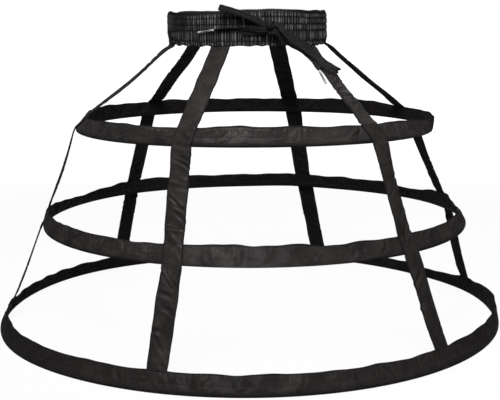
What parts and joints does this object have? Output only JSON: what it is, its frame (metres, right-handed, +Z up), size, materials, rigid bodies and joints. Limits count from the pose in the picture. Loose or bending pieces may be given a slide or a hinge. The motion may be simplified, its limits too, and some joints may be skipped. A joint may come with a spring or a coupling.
{
  "type": "crinoline cage",
  "caption": "Black hooped cage underskirt: flat hoops in tape casings hung by straps from a shirred drawstring waistband, to hold a full skirt out from the legs.",
  "frame": {"origin": "centre of the hem hoop, in the plane that the hem rests on", "axes": "+Z up from the hem to the waistband, centre front with its bow towards -Y, +X to the right as seen from the front"},
  "size_m": [0.6999, 0.7, 0.4369],
  "materials": {
    "tape": "black woven polyester tape with a slight sheen",
    "band_cloth": "black shirred polyester cloth",
    "elastic": "black woven elastic",
    "lace": "black braided flat lace",
    "aglet": "clear pale plastic over lace",
    "spring_steel": "bright flat spring steel",
    "crimp_metal": "pressed brass sleeve"
  },
  "bodies": {
    "root": {"casing_hem": "tape", "casing_mid": "tape", "casing_top": "tape", "steel_hem": "spring_steel", "steel_mid": "spring_steel", "steel_top": "spring_steel", "joiner_hem": "crimp_metal", "joiner_mid": "crimp_metal", "joiner_top": "crimp_metal", "strap_front_left": "tape", "strap_front_right": "tape", "strap_side_left": "tape", "strap_side_right": "tape", "strap_back_left": "tape", "strap_back_right": "tape", "waistband": "band_cloth", "waist_elastic": "elastic", "drawstring_in_band": "lace", "drawstring_lead_left": "lace", "drawstring_lead_right": "lace", "bow_knot": "lace", "bow_loop_left": "lace", "bow_loop_right": "lace", "bow_tail_left": "lace", "bow_tail_right": "lace", "aglet_left": "aglet", "aglet_right": "aglet"}
  },
  "joints": []
}
